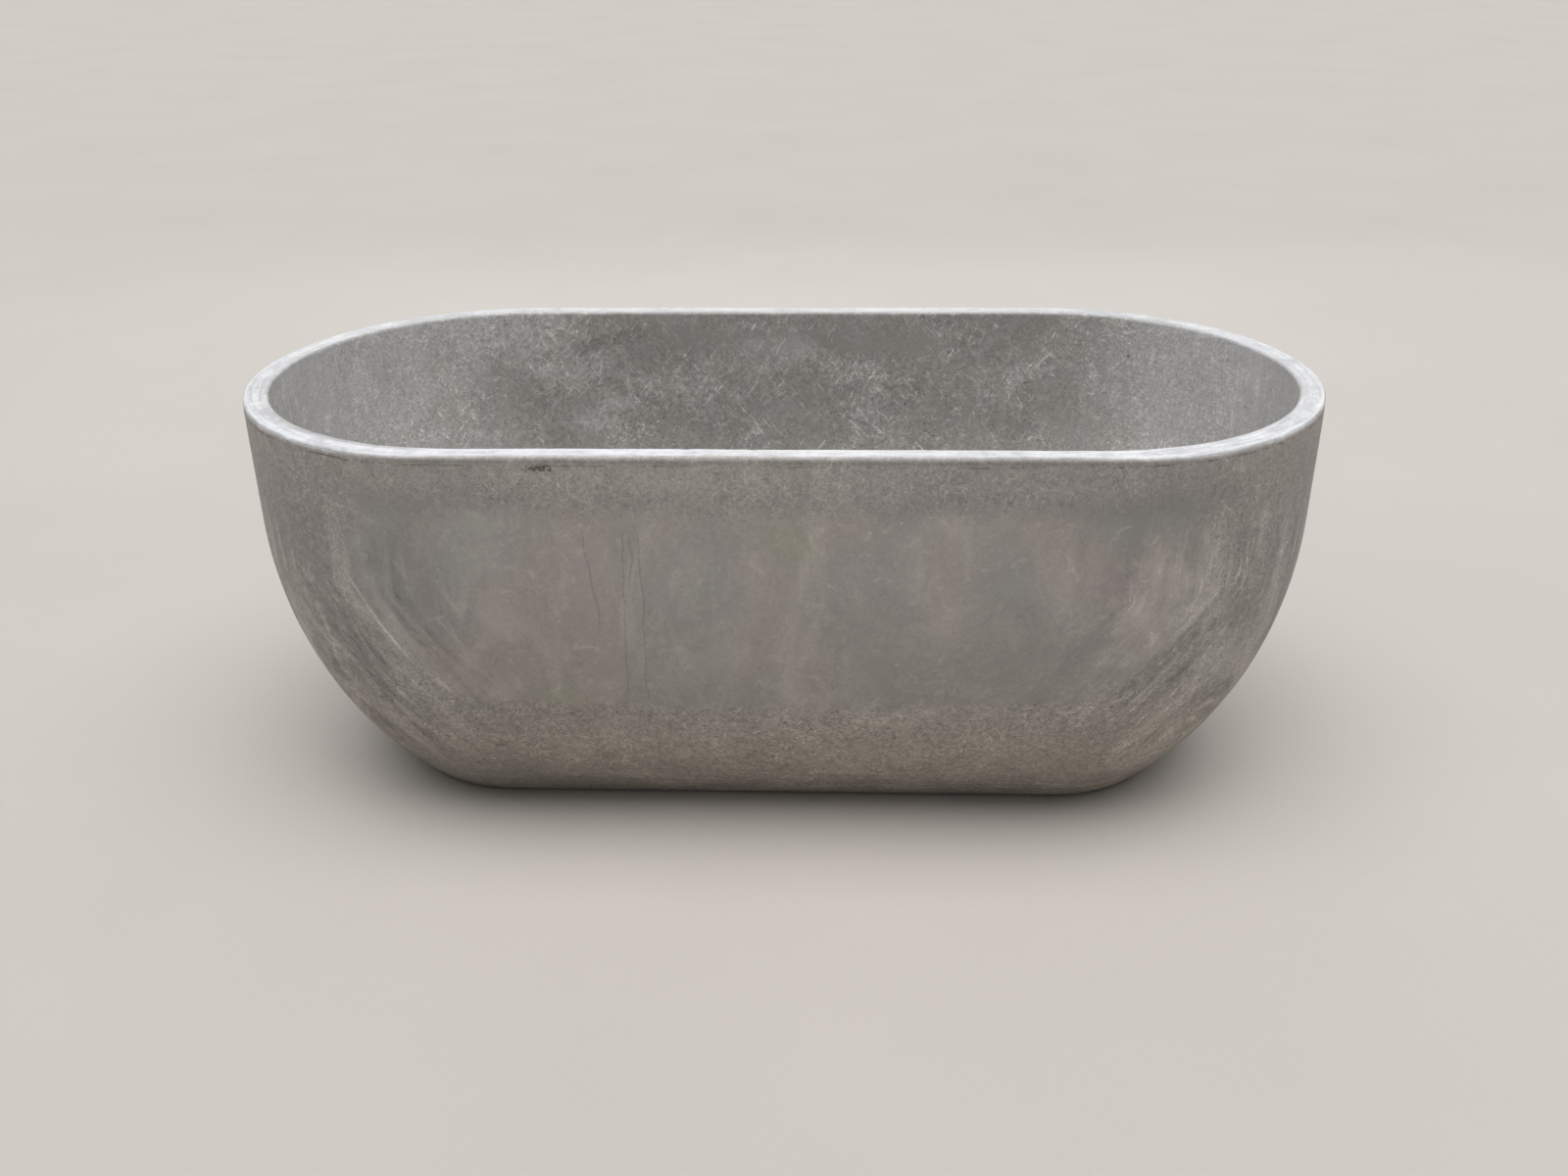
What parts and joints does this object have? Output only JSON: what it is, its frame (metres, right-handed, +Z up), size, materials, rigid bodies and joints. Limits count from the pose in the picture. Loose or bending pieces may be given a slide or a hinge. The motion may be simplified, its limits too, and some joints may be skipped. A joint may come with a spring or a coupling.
{
  "type": "concrete tub planter",
  "caption": "Long concrete tub planter with round ends, one curved wall narrowing to a flat foot, plugged floor drains and rubber feet.",
  "frame": {"origin": "on the ground under the middle of the tub, at the level of the feet's undersides", "axes": "+X along the tub, +Y from its front to its back, +Z up"},
  "size_m": [1.6, 0.75, 0.635],
  "materials": {
    "concrete": "matte",
    "mortar": "matte",
    "bar_steel": "matte",
    "sleeve_plastic": "satin",
    "grid_steel": "satin",
    "plug_rubber": "matte",
    "foot_rubber": "matte"
  },
  "bodies": {
    "tub": {"tub_shell": "concrete", "bar_spacers": "mortar", "rim_hoop": "bar_steel", "band_hoop": "bar_steel", "flank_hoop_1": "bar_steel", "flank_hoop_2": "bar_steel", "cross_bar_1": "bar_steel", "cross_bar_2": "bar_steel", "cross_bar_3": "bar_steel", "cross_bar_4": "bar_steel", "cross_bar_5": "bar_steel", "left_end_bar_front": "bar_steel", "left_end_bar_middle": "bar_steel", "left_end_bar_back": "bar_steel", "right_end_bar_front": "bar_steel", "right_end_bar_middle": "bar_steel", "right_end_bar_back": "bar_steel", "front_floor_bar": "bar_steel", "back_floor_bar": "bar_steel", "front_left_foot": "foot_rubber", "back_left_foot": "foot_rubber", "front_middle_foot": "foot_rubber", "back_middle_foot": "foot_rubber", "front_right_foot": "foot_rubber", "back_right_foot": "foot_rubber", "left_drain_sleeve": "sleeve_plastic", "left_drain_grid": "grid_steel", "right_drain_sleeve": "sleeve_plastic", "right_drain_grid": "grid_steel"},
    "left_plug": {"left_drain_plug": "plug_rubber"},
    "right_plug": {"right_drain_plug": "plug_rubber"}
  },
  "joints": [
    {"name": "left_plug_lift", "type": "slide", "parent": "tub", "child": "left_plug", "axis": [0, 0, 1], "range_m": [0, 0.63]},
    {"name": "right_plug_lift", "type": "slide", "parent": "tub", "child": "right_plug", "axis": [0, 0, 1], "range_m": [0, 0.63]}
  ]
}
